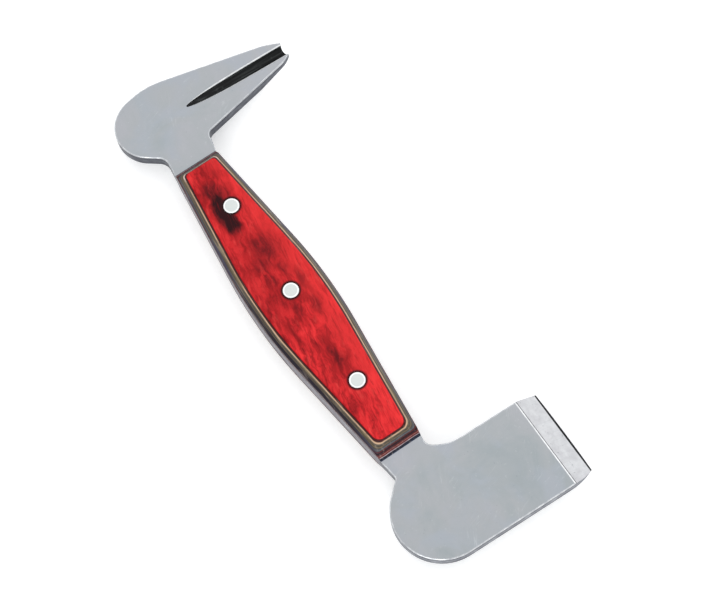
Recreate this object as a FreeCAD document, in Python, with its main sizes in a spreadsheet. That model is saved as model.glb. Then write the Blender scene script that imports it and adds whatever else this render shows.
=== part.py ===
"""Hoof pick: a full-tang steel blank with a grooved pick head and a wide scraper head,
a laminated wood scale on each side of the tang, and three pins.

Frame: X runs along the handle from the pick end to the scraper end, Y points towards the
tips of both heads, Z is square to the plate. The origin is under the middle of the handle,
on the flat outer face of the back scale. All lengths are in millimetres.
"""
import FreeCAD, Part
import math
import os

import Sketcher

DIMENSIONS = {
    # plate and scales
    "plate_thick": 6.35,
    "scale_thick": 6.35,
    # handle outline, shared by the tang and both scales
    "handle_length": 143.8,
    "widest_x": -1.5,
    "widest_half": 16.1,
    "waist_radius": 210.0,
    "upper_taper": 6.0,
    "lower_taper": 6.9,
    "tang_overrun": 9.0,
    # scale edges: chamfered long sides, sloped ends
    "side_chamfer": 3.6,
    "slope_pick_end": 4.8,
    "slope_scraper_end": 5.8,
    # pins
    "pin_radius": 3.175,
    "pin_pick_x": -45.8,
    "pin_pick_y": 1.3,
    "pin_middle_x": -3.0,
    "pin_middle_y": 0.8,
    "pin_scraper_x": 41.8,
    "pin_scraper_y": 1.3,
    # pick head
    "pick_bulb_x": -96.5,
    "pick_bulb_y": -5.8,
    "pick_bulb_radius": 14.0,
    "pick_flank_radius": 34.0,
    "pick_outer_lean": 75.8,
    "pick_outer_shoulder_x": -100.6,
    "pick_outer_shoulder_y": 47.5,
    "pick_inner_lean": 101.0,
    "pick_inner_shoulder_y": 52.5,
    "pick_lip_x": -96.6,
    "pick_lip_y": 57.1,
    "pick_tip_width": 6.1,
    "pick_tip_hollow": 6.0,
    # neck of the pick head
    "pick_neck_x": -80.8,
    "pick_neck_y": 14.0,
    "pick_ramp_x": -77.3,
    "pick_ramp_y": 11.5,
    "pick_tang_x": -71.0,
    "pick_tang_y": 9.8,
    "pick_throat_angle": 52.0,
    "pick_throat_x": -80.0,
    "pick_throat_round": 5.0,
    # relief ground on the back of the pick, which thins its tip
    "relief_start_y": 36.0,
    "relief_end_y": 57.5,
    "relief_rise": 3.9,
    # groove in the pick head, cut by a round cutter that sinks towards the tip
    "groove_start_x": -94.9,
    "groove_start_y": 11.0,
    "groove_radius": 2.45,
    "groove_length": 60.0,
    "groove_sink_angle": 2.4,
    "groove_lean_angle": 2.0,
    # scraper head
    "scraper_x": 99.9,
    "scraper_half": 19.5,
    "scraper_bulb_y": -0.5,
    "scraper_lean": 88.5,
    "scraper_inner_x": 81.5,
    "scraper_corner_y": 44.0,
    "scraper_edge_y": 55.2,
    "scraper_crown_radius": 450.0,
    "scraper_inner_ease": 0.9,
    "scraper_outer_ease": 1.9,
    "scraper_flare": 1.0,
    # neck of the scraper head
    "scraper_neck_y": 21.7,
    "scraper_tang_x": 75.6,
    "scraper_tang_y": 9.0,
    "scraper_throat_angle": 48.0,
    "scraper_throat_x": 79.4,
    "scraper_throat_round": 1.5,
    "scraper_neck_round": 4.0,
    # bevel ground on the scraper's front face
    "bevel_start_y": 46.2,
    "bevel_end_y": 55.9,
    "bevel_land": 0.3,
}

# Veneers of one scale, from the steel outwards: colour word and thickness.
VENEERS = [
    ("navy", 0.90),
    ("mauve", 1.40),
    ("black", 0.45),
    ("sand", 1.00),
    ("olive", 0.60),
    ("tan", 0.95),
    ("brown", 0.45),
    ("red", 0.60),
]
# Veneers above the upright wall of the long sides.
CHAMFERED = ("sand", "olive", "tan", "brown", "red")

PIN_PLACES = ("pick", "middle", "scraper")

# How a sketch numbers a curve's points and its own origin.
START, END, CENTRE = 1, 2, 3
ORIGIN = (-1, 1)

doc = FreeCAD.newDocument("hoof_pick")
sheet = doc.addObject("Spreadsheet::Sheet", "dims")


def fill_sheet():
    """Write every driving dimension and veneer thickness as an aliased cell."""
    cells = dict(DIMENSIONS)
    for colour, thick in VENEERS:
        cells["veneer_" + colour] = thick
    for row, (alias, value) in enumerate(cells.items(), start=1):
        sheet.set(f"A{row}", alias)
        sheet.set(f"B{row}", str(value))
        sheet.setAlias(f"B{row}", alias)
    doc.recompute()


def size(alias):
    return float(sheet.get(alias))


def new_body(label):
    body = doc.addObject("PartDesign::Body", label)
    body.Label = label
    return body


def new_sketch(body, role, name):
    """A sketch on one of the body's own origin planes."""
    plane = next(f for f in body.Origin.OriginFeatures if f.Role == role)
    sketch = body.newObject("Sketcher::SketchObject", name)
    sketch.AttachmentSupport = (plane, "")
    sketch.MapMode = "FlatFace"
    return sketch


def raise_sketch(sketch, height):
    """Lift a sketch off its plane by an expression."""
    sketch.setExpression("AttachmentOffset.Base.z", height)


def drive(sketch, constraint, expression):
    """Add a dimensional constraint and bind it to the sheet."""
    index = sketch.addConstraint(constraint)
    sketch.setExpression(f"Constraints[{index}]", expression)


def vector(x, y):
    return FreeCAD.Vector(x, y, 0)


def hold_x(sketch, point, expression, now):
    """Hold the x of one sketch point at a driven coordinate."""
    drive(sketch, Sketcher.Constraint("DistanceX", *ORIGIN, *point, now), expression)


def hold_y(sketch, point, expression, now):
    """Hold the y of one sketch point at a driven coordinate."""
    drive(sketch, Sketcher.Constraint("DistanceY", *ORIGIN, *point, now), expression)


def place_point(sketch, point, x_expression, y_expression, x_now, y_now):
    """Hold one sketch point at driven coordinates."""
    hold_x(sketch, point, x_expression, x_now)
    hold_y(sketch, point, y_expression, y_now)


def add_line(sketch, start, end):
    return sketch.addGeometry(Part.LineSegment(vector(*start), vector(*end)), False)


def add_arc(sketch, centre, radius, start_degrees, end_degrees):
    """An arc that runs counter-clockwise from its start to its end."""
    circle = Part.Circle(vector(*centre), FreeCAD.Vector(0, 0, 1), radius)
    arc = Part.ArcOfCircle(circle, math.radians(start_degrees), math.radians(end_degrees))
    return sketch.addGeometry(arc, False)


def on_circle(centre, radius, degrees):
    angle = math.radians(degrees)
    return (centre[0] + radius * math.cos(angle), centre[1] + radius * math.sin(angle))


def join(sketch, kind, first, first_end, second, second_end):
    sketch.addConstraint(Sketcher.Constraint(kind, first, first_end, second, second_end))


def handle_outline(sketch, inset, pick_cut, scraper_cut, turned_over=False):
    """The handle's outline, drawn in by inset along its long sides.

    Each long side is a wide arc between two straight tapers, a little steeper below. The
    square ends stand at half the handle's length less pick_cut and scraper_cut. These three
    arguments are pairs of a number and the expression that gives it. turned_over draws the
    outline as it is for a piece that is then turned about X.
    """
    widest = size("widest_x")
    radius = size("waist_radius") - inset[0]
    depth = size("waist_radius") - size("widest_half")
    pick_x = -size("handle_length") / 2 + pick_cut[0]
    scraper_x = size("handle_length") / 2 - scraper_cut[0]
    corners = {}
    upward = -1 if turned_over else 1
    for side, alias in ((upward, "upper_taper"), (-upward, "lower_taper")):
        taper = size(alias)
        slope = math.tan(math.radians(taper))
        centre = (widest, -side * depth)
        left = on_circle(centre, radius, side * (90 + taper))
        right = on_circle(centre, radius, side * (90 - taper))
        pick_y = left[1] - side * slope * (left[0] - pick_x)
        scraper_y = right[1] - side * slope * (scraper_x - right[0])
        if side > 0:
            arc = add_arc(sketch, centre, radius, 90 - taper, 90 + taper)
            arc_left, arc_right = END, START
        else:
            arc = add_arc(sketch, centre, radius, 270 - taper, 270 + taper)
            arc_left, arc_right = START, END
        pick_line = add_line(sketch, (pick_x, pick_y), left)
        scraper_line = add_line(sketch, right, (scraper_x, scraper_y))
        join(sketch, "Tangent", arc, arc_left, pick_line, END)
        join(sketch, "Tangent", arc, arc_right, scraper_line, START)
        centre_y = "dims.waist_radius - dims.widest_half"
        if side > 0:
            centre_y = f"-({centre_y})"
        place_point(sketch, (arc, CENTRE), "dims.widest_x", centre_y, *centre)
        drive(sketch, Sketcher.Constraint("Radius", arc, radius), f"dims.waist_radius - ({inset[1]})")
        for line, way in ((pick_line, side), (scraper_line, -side)):
            turn = Sketcher.Constraint("Angle", line, math.radians(way * taper))
            drive(sketch, turn, f"{way} * dims.{alias} * 1 deg")
        hold_x(sketch, (pick_line, START), f"-dims.handle_length / 2 + ({pick_cut[1]})", pick_x)
        hold_x(sketch, (scraper_line, END), f"dims.handle_length / 2 - ({scraper_cut[1]})", scraper_x)
        corners[side] = (pick_line, scraper_line, (pick_x, pick_y), (scraper_x, scraper_y))
    for end in (0, 1):
        upper, lower = corners[1], corners[-1]
        cap = add_line(sketch, upper[2 + end], lower[2 + end])
        corner_end = START if end == 0 else END
        join(sketch, "Coincident", cap, START, upper[end], corner_end)
        join(sketch, "Coincident", cap, END, lower[end], corner_end)


def pad(body, sketch, name, length):
    feature = body.newObject("PartDesign::Pad", name)
    feature.Profile = sketch
    feature.setExpression("Length", length)
    return feature


def cut_through(body, sketch, name):
    """Cut a sketch through the whole body, on both sides of its plane."""
    feature = body.newObject("PartDesign::Pocket", name)
    feature.Profile = sketch
    feature.Type = "ThroughAll"
    feature.Midplane = True
    return feature


def pin_holes(body, turned_over):
    """Three round holes for the pins, through the whole body."""
    way = -1 if turned_over else 1
    sketch = new_sketch(body, "XY_Plane", body.Label + "_pin_circles")
    for place in PIN_PLACES:
        spot = (size(f"pin_{place}_x"), way * size(f"pin_{place}_y"))
        circle = Part.Circle(vector(*spot), FreeCAD.Vector(0, 0, 1), size("pin_radius"))
        ring = sketch.addGeometry(circle, False)
        drive(sketch, Sketcher.Constraint("Radius", ring, size("pin_radius")), "dims.pin_radius")
        spot_y = f"{way} * dims.pin_{place}_y"
        place_point(sketch, (ring, CENTRE), f"dims.pin_{place}_x", spot_y, *spot)
    return cut_through(body, sketch, body.Label + "_pin_holes")


def stack(colours):
    """Height of some veneers together, as a number and as the expression that gives it."""
    thickness = dict(VENEERS)
    number = sum(thickness[colour] for colour in colours)
    expression = " + ".join(f"dims.veneer_{colour}" for colour in colours) or "0"
    return number, expression


def shared_out(alias, part, whole):
    """A driven size times part over whole, as a number and as an expression."""
    return size(alias) * part[0] / whole[0], f"dims.{alias} * ({part[1]}) / ({whole[1]})"


def veneer_section(body, name, colours, turned_over):
    """The scale's outline at the height of those veneers, counted from the steel."""
    sketch = new_sketch(body, "XY_Plane", name)
    height = stack(colours)
    scale = (size("scale_thick"), "dims.scale_thick")
    chamfered = stack([colour for colour in colours if colour in CHAMFERED])
    handle_outline(
        sketch,
        shared_out("side_chamfer", chamfered, stack(CHAMFERED)),
        shared_out("slope_pick_end", height, scale),
        shared_out("slope_scraper_end", height, scale),
        turned_over,
    )
    return sketch


def build_veneer(side, number):
    """One veneer of a scale: a slice with leaning edges, between two outlines of the scale.

    side is "front" or "back". The slice is built lying on the XY plane and then stands on
    the steel, turned over for the back scale.
    """
    colours = [colour for colour, _ in VENEERS[:number + 1]]
    label = f"{side}_veneer_{colours[-1]}"
    turned_over = side == "back"
    body = new_body(label)
    foot = veneer_section(body, label + "_foot", colours[:-1], turned_over)
    head = veneer_section(body, label + "_head", colours, turned_over)
    raise_sketch(head, f"dims.veneer_{colours[-1]}")
    doc.recompute()
    loft = body.newObject("PartDesign::AdditiveLoft", label + "_slice")
    loft.Profile = foot
    loft.Sections = [head]
    loft.Ruled = True
    doc.recompute()
    pin_holes(body, turned_over)
    _, below = stack(colours[:-1])
    if turned_over:
        body.Placement = FreeCAD.Placement(vector(0, 0), FreeCAD.Rotation(FreeCAD.Vector(1, 0, 0), 180))
        body.setExpression("Placement.Base.z", f"dims.scale_thick - ({below})")
    else:
        body.setExpression("Placement.Base.z", f"dims.scale_thick + dims.plate_thick + {below}")
    return body


def build_pin(place):
    """A round pin, flush with both faces of the handle."""
    pin = doc.addObject("Part::Cylinder", f"pin_{place}")
    pin.Label = f"pin_{place}"
    pin.setExpression("Radius", "dims.pin_radius")
    pin.setExpression("Height", "dims.plate_thick + 2 * dims.scale_thick")
    pin.setExpression("Placement.Base.x", f"dims.pin_{place}_x")
    pin.setExpression("Placement.Base.y", f"dims.pin_{place}_y")
    return pin


def tang_profile(body):
    """The tang: the handle's outline, run on into both heads."""
    sketch = new_sketch(body, "XY_Plane", "tang_outline")
    overrun = (-size("tang_overrun"), "-dims.tang_overrun")
    handle_outline(sketch, (0.0, "0"), overrun, overrun)
    return sketch


def line_through(point, degrees, y):
    """The x at which a line through point, leaning by degrees from +X, reaches y."""
    return point[0] + (y - point[1]) / math.tan(math.radians(degrees))


def tangent_centre(first, degrees, second):
    """Centre of the arc that leaves first along degrees and ends at second."""
    normal = vector(-math.sin(math.radians(degrees)), math.cos(math.radians(degrees)))
    chord = vector(*second) - vector(*first)
    centre = vector(*first) + normal * (chord.dot(chord) / (2 * chord.dot(normal)))
    return (centre.x, centre.y)


def chord_centre(first, second, radius):
    """Centre, on the left of the chord, of an arc of that radius from first to second."""
    chord = vector(*second) - vector(*first)
    left = vector(-chord.y, chord.x).normalize()
    middle = (vector(*first) + vector(*second)) * 0.5
    centre = middle + left * math.sqrt(radius**2 - chord.dot(chord) / 4)
    return (centre.x, centre.y)


def add_bend(sketch, first, second, centre):
    """The short arc about centre from first to second, with the ends that meet them."""
    spokes = [vector(*point) - vector(*centre) for point in (first, second)]
    angles = [math.degrees(math.atan2(spoke.y, spoke.x)) for spoke in spokes]
    if spokes[0].cross(spokes[1]).z > 0:
        return add_arc(sketch, centre, spokes[0].Length, *angles), START, END
    return add_arc(sketch, centre, spokes[0].Length, angles[1], angles[0]), END, START


def pick_profile(body):
    """The pick head: a round bulb drawn up to a narrow, hollow-ended tip."""
    sketch = new_sketch(body, "XY_Plane", "pick_outline")
    bulb = (size("pick_bulb_x"), size("pick_bulb_y"))
    radius = size("pick_bulb_radius")
    flank_radius = size("pick_flank_radius")
    outer_lean = size("pick_outer_lean")
    inner_lean = size("pick_inner_lean")
    throat_lean = size("pick_throat_angle")
    outer_top = (size("pick_outer_shoulder_x"), size("pick_outer_shoulder_y"))
    inner_foot = (size("pick_neck_x"), size("pick_neck_y"))
    inner_y = size("pick_inner_shoulder_y")
    inner_top = (line_through(inner_foot, inner_lean, inner_y), inner_y)
    outer_lip = (size("pick_lip_x"), size("pick_lip_y"))
    inner_lip = (outer_lip[0] + size("pick_tip_width"), outer_lip[1])
    ramp_top = (size("pick_ramp_x"), size("pick_ramp_y"))
    ramp_end = (size("pick_tang_x"), size("pick_tang_y"))
    turn = on_circle(bulb, radius, throat_lean - 90)
    throat_x = size("pick_throat_x")
    throat_end = (throat_x, turn[1] + (throat_x - turn[0]) * math.tan(math.radians(throat_lean)))

    # The flank arc touches the outer side and wraps the bulb's arc, which lies inside it.
    outward = vector(*on_circle((0, 0), 1, outer_lean + 90))
    reach = outward.dot(vector(*outer_top)) - flank_radius - outward.dot(vector(*bulb))
    spread = math.degrees(math.acos(reach / (flank_radius - radius)))
    flank = on_circle(bulb, flank_radius - radius, outer_lean + 90 - spread)
    flank_low = outer_lean + 270 - spread
    outer_foot = on_circle(flank, flank_radius, outer_lean + 90)

    bulb_arc = add_arc(sketch, bulb, radius, flank_low, throat_lean + 270)
    flank_arc = add_arc(sketch, flank, flank_radius, outer_lean + 90, flank_low)
    outer = add_line(sketch, outer_foot, outer_top)
    outer_bend = add_bend(sketch, outer_top, outer_lip, tangent_centre(outer_top, outer_lean, outer_lip))
    hollow_centre = chord_centre(outer_lip, inner_lip, size("pick_tip_hollow"))
    hollow = add_bend(sketch, outer_lip, inner_lip, hollow_centre)
    corner = add_bend(sketch, inner_lip, inner_top, tangent_centre(inner_top, inner_lean, inner_lip))
    inner = add_line(sketch, inner_top, inner_foot)
    neck = add_bend(sketch, inner_foot, ramp_top, tangent_centre(inner_foot, inner_lean, ramp_top))
    ramp = add_line(sketch, ramp_top, ramp_end)
    inside = add_line(sketch, ramp_end, throat_end)
    throat = add_line(sketch, throat_end, turn)

    join(sketch, "Tangent", bulb_arc, START, flank_arc, END)
    join(sketch, "Tangent", flank_arc, START, outer, START)
    join(sketch, "Tangent", outer, END, outer_bend[0], outer_bend[1])
    join(sketch, "Coincident", outer_bend[0], outer_bend[2], hollow[0], hollow[1])
    join(sketch, "Coincident", hollow[0], hollow[2], corner[0], corner[1])
    join(sketch, "Tangent", corner[0], corner[2], inner, START)
    join(sketch, "Tangent", inner, END, neck[0], neck[1])
    join(sketch, "Coincident", neck[0], neck[2], ramp, START)
    join(sketch, "Coincident", ramp, END, inside, START)
    join(sketch, "Coincident", inside, END, throat, START)
    join(sketch, "Tangent", throat, END, bulb_arc, END)

    place_point(sketch, (bulb_arc, CENTRE), "dims.pick_bulb_x", "dims.pick_bulb_y", *bulb)
    drive(sketch, Sketcher.Constraint("Radius", bulb_arc, radius), "dims.pick_bulb_radius")
    drive(sketch, Sketcher.Constraint("Radius", flank_arc, flank_radius), "dims.pick_flank_radius")
    outer_turn = Sketcher.Constraint("Angle", outer, math.radians(outer_lean))
    drive(sketch, outer_turn, "dims.pick_outer_lean * 1 deg")
    shoulder = ("dims.pick_outer_shoulder_x", "dims.pick_outer_shoulder_y")
    place_point(sketch, (outer, END), *shoulder, *outer_top)
    place_point(sketch, (hollow[0], hollow[1]), "dims.pick_lip_x", "dims.pick_lip_y", *outer_lip)
    tip_x = "dims.pick_lip_x + dims.pick_tip_width"
    place_point(sketch, (hollow[0], hollow[2]), tip_x, "dims.pick_lip_y", *inner_lip)
    hollow_radius = Sketcher.Constraint("Radius", hollow[0], size("pick_tip_hollow"))
    drive(sketch, hollow_radius, "dims.pick_tip_hollow")
    inner_turn = Sketcher.Constraint("Angle", inner, math.radians(inner_lean - 180))
    drive(sketch, inner_turn, "(dims.pick_inner_lean - 180) * 1 deg")
    hold_y(sketch, (inner, START), "dims.pick_inner_shoulder_y", inner_y)
    place_point(sketch, (inner, END), "dims.pick_neck_x", "dims.pick_neck_y", *inner_foot)
    place_point(sketch, (ramp, START), "dims.pick_ramp_x", "dims.pick_ramp_y", *ramp_top)
    place_point(sketch, (ramp, END), "dims.pick_tang_x", "dims.pick_tang_y", *ramp_end)
    hold_x(sketch, (throat, START), "dims.pick_throat_x", throat_x)
    throat_turn = Sketcher.Constraint("Angle", throat, math.radians(throat_lean - 180))
    drive(sketch, throat_turn, "(dims.pick_throat_angle - 180) * 1 deg")
    return sketch


def scraper_profile(body):
    """The scraper head: a round bulb with straight sides up to a crowned edge."""
    sketch = new_sketch(body, "XY_Plane", "scraper_outline")
    bulb = (size("scraper_x"), size("scraper_bulb_y"))
    half = size("scraper_half")
    lean = size("scraper_lean")
    throat_lean = size("scraper_throat_angle")
    corner_y = size("scraper_corner_y")
    edge_y = size("scraper_edge_y")
    outer_foot = on_circle(bulb, half, lean - 90)
    outer_top = (line_through(outer_foot, lean, corner_y), corner_y)
    inner_top = (size("scraper_inner_x"), corner_y)
    neck_y = size("scraper_neck_y")
    inner_foot = (line_through(inner_top, lean, neck_y), neck_y)
    inner_tip = (inner_top[0] + size("scraper_inner_ease"), edge_y)
    outer_tip_x = bulb[0] + half + size("scraper_flare") - size("scraper_outer_ease")
    outer_tip = (outer_tip_x, edge_y)
    neck_end = (size("scraper_tang_x"), size("scraper_tang_y"))
    turn = on_circle(bulb, half, 270 - throat_lean)
    throat_x = size("scraper_throat_x")
    throat_end = (throat_x, turn[1] + (turn[0] - throat_x) * math.tan(math.radians(throat_lean)))

    bulb_arc = add_arc(sketch, bulb, half, 270 - throat_lean, 270 + lean)
    outer = add_line(sketch, outer_foot, outer_top)
    outer_ease = add_bend(sketch, outer_top, outer_tip, tangent_centre(outer_top, lean, outer_tip))
    crown_centre = chord_centre(outer_tip, inner_tip, size("scraper_crown_radius"))
    edge = add_bend(sketch, outer_tip, inner_tip, crown_centre)
    inner_ease = add_bend(sketch, inner_tip, inner_top, tangent_centre(inner_top, lean, inner_tip))
    inner = add_line(sketch, inner_top, inner_foot)
    neck = add_bend(sketch, inner_foot, neck_end, tangent_centre(inner_foot, lean, neck_end))
    inside = add_line(sketch, neck_end, throat_end)
    throat = add_line(sketch, throat_end, turn)

    join(sketch, "Tangent", bulb_arc, END, outer, START)
    join(sketch, "Tangent", outer, END, outer_ease[0], outer_ease[1])
    join(sketch, "Coincident", outer_ease[0], outer_ease[2], edge[0], edge[1])
    join(sketch, "Coincident", edge[0], edge[2], inner_ease[0], inner_ease[1])
    join(sketch, "Tangent", inner_ease[0], inner_ease[2], inner, START)
    join(sketch, "Tangent", inner, END, neck[0], neck[1])
    join(sketch, "Coincident", neck[0], neck[2], inside, START)
    join(sketch, "Coincident", inside, END, throat, START)
    join(sketch, "Tangent", throat, END, bulb_arc, START)

    place_point(sketch, (bulb_arc, CENTRE), "dims.scraper_x", "dims.scraper_bulb_y", *bulb)
    drive(sketch, Sketcher.Constraint("Radius", bulb_arc, half), "dims.scraper_half")
    drive(sketch, Sketcher.Constraint("Angle", outer, math.radians(lean)), "dims.scraper_lean * 1 deg")
    inner_turn = Sketcher.Constraint("Angle", inner, math.radians(lean - 180))
    drive(sketch, inner_turn, "(dims.scraper_lean - 180) * 1 deg")
    hold_y(sketch, (outer, END), "dims.scraper_corner_y", corner_y)
    flared_x = "dims.scraper_x + dims.scraper_half + dims.scraper_flare - dims.scraper_outer_ease"
    inner_tip_x = "dims.scraper_inner_x + dims.scraper_inner_ease"
    place_point(sketch, (edge[0], edge[1]), flared_x, "dims.scraper_edge_y", *outer_tip)
    place_point(sketch, (edge[0], edge[2]), inner_tip_x, "dims.scraper_edge_y", *inner_tip)
    crown = Sketcher.Constraint("Radius", edge[0], size("scraper_crown_radius"))
    drive(sketch, crown, "dims.scraper_crown_radius")
    place_point(sketch, (inner, START), "dims.scraper_inner_x", "dims.scraper_corner_y", *inner_top)
    hold_y(sketch, (inner, END), "dims.scraper_neck_y", neck_y)
    place_point(sketch, (inside, START), "dims.scraper_tang_x", "dims.scraper_tang_y", *neck_end)
    hold_x(sketch, (throat, START), "dims.scraper_throat_x", throat_x)
    throat_turn = Sketcher.Constraint("Angle", throat, math.radians(-throat_lean))
    drive(sketch, throat_turn, "-dims.scraper_throat_angle * 1 deg")
    return sketch


def wedge_profile(body, name, heights):
    """Side view of a wedge of metal, from three points of y and z with their expressions.

    Each entry of heights is (y alias, z number, z expression), going round the wedge.
    """
    sketch = new_sketch(body, "YZ_Plane", name)
    points = [(size(alias), number) for alias, number, _ in heights]
    lines = [add_line(sketch, *ends) for ends in zip(points, points[1:] + points[:1])]
    for line, following in zip(lines, lines[1:] + lines[:1]):
        join(sketch, "Coincident", line, END, following, START)
    for line, (alias, _, expression), point in zip(lines, heights, points):
        place_point(sketch, (line, START), f"dims.{alias}", expression, *point)
    return sketch


def grind(body, name, profile, towards_scraper):
    """Take the wedge off one head, all the way from the handle's middle outwards."""
    feature = body.newObject("PartDesign::Pocket", name)
    feature.Profile = profile
    feature.Type = "ThroughAll"
    feature.Reversed = towards_scraper
    doc.recompute()
    return feature


def round_neck(body, name, place):
    """Round the upright inside corner that stands nearest to place, by the size of that name."""
    base = body.Tip
    upright = []
    for number, edge in enumerate(base.Shape.Edges, start=1):
        ends = [vertex.Point for vertex in edge.Vertexes]
        if len(ends) == 2 and abs(ends[0].z - ends[1].z) > size("plate_thick") / 2:
            away = math.hypot(ends[0].x - place[0], ends[0].y - place[1])
            upright.append((away, number))
    away, number = min(upright)
    feature = body.newObject("PartDesign::Fillet", name)
    feature.Base = (base, [f"Edge{number}"])
    feature.setExpression("Radius", f"dims.{name}")
    doc.recompute()
    print(name, "found its corner", round(away, 2), "mm from the place given")


def cut_groove(body):
    """The groove down the pick: a long round cutter that dips as it nears the tip."""
    cutter = body.newObject("PartDesign::SubtractiveCylinder", "groove_cutter")
    cutter.setExpression("Radius", "dims.groove_radius")
    cutter.setExpression("Height", "dims.groove_length")
    along_y = FreeCAD.Rotation(FreeCAD.Vector(1, 0, 0), -90 - size("groove_sink_angle"))
    lean = FreeCAD.Rotation(FreeCAD.Vector(0, 0, 1), -size("groove_lean_angle"))
    start = FreeCAD.Vector(size("groove_start_x"), size("groove_start_y"), size("plate_thick"))
    start.z += size("groove_radius")
    cutter.Placement = FreeCAD.Placement(start, lean * along_y)
    for axis, height in (("x", "dims.groove_start_x"), ("y", "dims.groove_start_y")):
        cutter.setExpression(f"Placement.Base.{axis}", height)
    cutter.setExpression("Placement.Base.z", "dims.plate_thick + dims.groove_radius")
    return cutter


def build_tool_blank():
    """The one-piece steel plate: tang, pick head and scraper head."""
    body = new_body("tool_blank")
    profiles = (("tang", tang_profile), ("pick_head", pick_profile), ("scraper_head", scraper_profile))
    for name, profile in profiles:
        pad(body, profile(body), name, "dims.plate_thick")
        doc.recompute()
    necks = (
        ("pick_throat_round", size("pick_throat_x"), -size("pick_tang_y")),
        ("scraper_throat_round", size("scraper_throat_x"), -size("scraper_tang_y")),
        ("scraper_neck_round", size("scraper_tang_x"), size("scraper_tang_y")),
    )
    for name, x, y in necks:
        round_neck(body, name, (x, y))
    whole = body.Shape.Volume
    plate = size("plate_thick")
    bevel = [
        ("bevel_start_y", plate, "dims.plate_thick"),
        ("bevel_end_y", size("bevel_land"), "dims.bevel_land"),
        ("bevel_end_y", plate, "dims.plate_thick"),
    ]
    grind(body, "edge_bevel", wedge_profile(body, "bevel_side_view", bevel), towards_scraper=True)
    bevelled = body.Shape.Volume
    relief = [
        ("relief_start_y", 0.0, "0"),
        ("relief_end_y", 0.0, "0"),
        ("relief_end_y", size("relief_rise"), "dims.relief_rise"),
    ]
    grind(body, "tip_relief", wedge_profile(body, "relief_side_view", relief), towards_scraper=False)
    relieved = body.Shape.Volume
    cut_groove(body)
    doc.recompute()
    removed = (whole - bevelled, bevelled - relieved, relieved - body.Shape.Volume)
    print("bevel, relief and groove remove", [round(volume, 1) for volume in removed])
    pin_holes(body, turned_over=False)
    body.setExpression("Placement.Base.z", "dims.scale_thick")
    return body


def check_document():
    """Stop if any object failed to recompute."""
    for item in doc.Objects:
        if "Invalid" in item.State or "Error" in item.State:
            raise RuntimeError(f"{item.Name} is in state {item.State}")


def write_parts(pieces):
    """Write every piece to parts/LABEL.step, once all of them are sound."""
    for piece in pieces:
        if piece.Shape.isNull() or not piece.Shape.isValid() or len(piece.Shape.Solids) != 1:
            raise RuntimeError(f"{piece.Label} has no sound solid")
    os.makedirs("parts", exist_ok=True)
    for piece in pieces:
        piece.Shape.exportStep(f"parts/{piece.Label}.step")


fill_sheet()
pieces = [build_tool_blank()]
for side in ("front", "back"):
    for number in range(len(VENEERS)):
        pieces.append(build_veneer(side, number))
for place in PIN_PLACES:
    pieces.append(build_pin(place))
doc.recompute()
check_document()
write_parts(pieces)
for piece in pieces:
    box = piece.Shape.BoundBox
    spans = ((box.XMin, box.XMax), (box.YMin, box.YMax), (box.ZMin, box.ZMax))
    rounded = [(round(low, 2), round(high, 2)) for low, high in spans]
    print(piece.Label, rounded, "volume", round(piece.Shape.Volume, 1))
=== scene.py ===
"""Looks of the hoof pick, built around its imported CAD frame.

Row frame: X runs along the handle from the pick end to the scraper end, Y points towards
the tips of both heads, and Z is up, square to the plate. Lengths below are in millimetres
where a name ends in _MM, and in metres otherwise.
"""

import math

import bmesh
import bpy
from mathutils import Matrix, Vector, noise
from mathutils.geometry import tessellate_polygon


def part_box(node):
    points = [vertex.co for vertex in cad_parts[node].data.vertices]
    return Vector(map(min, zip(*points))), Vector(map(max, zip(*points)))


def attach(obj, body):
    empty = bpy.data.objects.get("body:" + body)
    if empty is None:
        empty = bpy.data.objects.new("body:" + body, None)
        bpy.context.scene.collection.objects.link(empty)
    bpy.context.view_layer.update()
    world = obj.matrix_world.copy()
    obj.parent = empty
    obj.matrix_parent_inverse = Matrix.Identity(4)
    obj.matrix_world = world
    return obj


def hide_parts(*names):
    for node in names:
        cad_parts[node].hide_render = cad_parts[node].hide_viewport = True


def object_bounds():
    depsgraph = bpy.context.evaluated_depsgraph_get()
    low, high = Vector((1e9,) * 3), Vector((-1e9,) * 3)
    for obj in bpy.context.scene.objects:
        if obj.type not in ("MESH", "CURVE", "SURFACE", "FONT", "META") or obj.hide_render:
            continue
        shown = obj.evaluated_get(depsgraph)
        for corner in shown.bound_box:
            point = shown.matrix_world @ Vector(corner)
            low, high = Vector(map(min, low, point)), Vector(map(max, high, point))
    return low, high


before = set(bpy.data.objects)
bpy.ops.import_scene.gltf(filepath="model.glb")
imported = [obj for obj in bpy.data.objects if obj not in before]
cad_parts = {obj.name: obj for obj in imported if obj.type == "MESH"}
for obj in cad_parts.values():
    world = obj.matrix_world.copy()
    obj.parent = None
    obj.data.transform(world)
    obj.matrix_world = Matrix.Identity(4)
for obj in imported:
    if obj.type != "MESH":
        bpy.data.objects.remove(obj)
cad_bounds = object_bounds()

MM = 0.001
BOXES = {node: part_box(node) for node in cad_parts}
PLATE_LOW, PLATE_HIGH = BOXES["tool_blank"]
PLATE_MIDDLE = (PLATE_LOW.z + PLATE_HIGH.z) / 2
HANDLE_LOW, HANDLE_HIGH = BOXES["front_veneer_navy"]
SCALE_HEIGHT = BOXES["front_veneer_red"][1].z - HANDLE_LOW.z

# Handle outline, as in the CAD: a wide arc between two straight tapers on each long side.
WAIST_RADIUS = 210.0 * MM
UPPER_TAPER = math.radians(6.0)
LOWER_TAPER = math.radians(6.9)
WIDEST_X = -1.5 * MM

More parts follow.
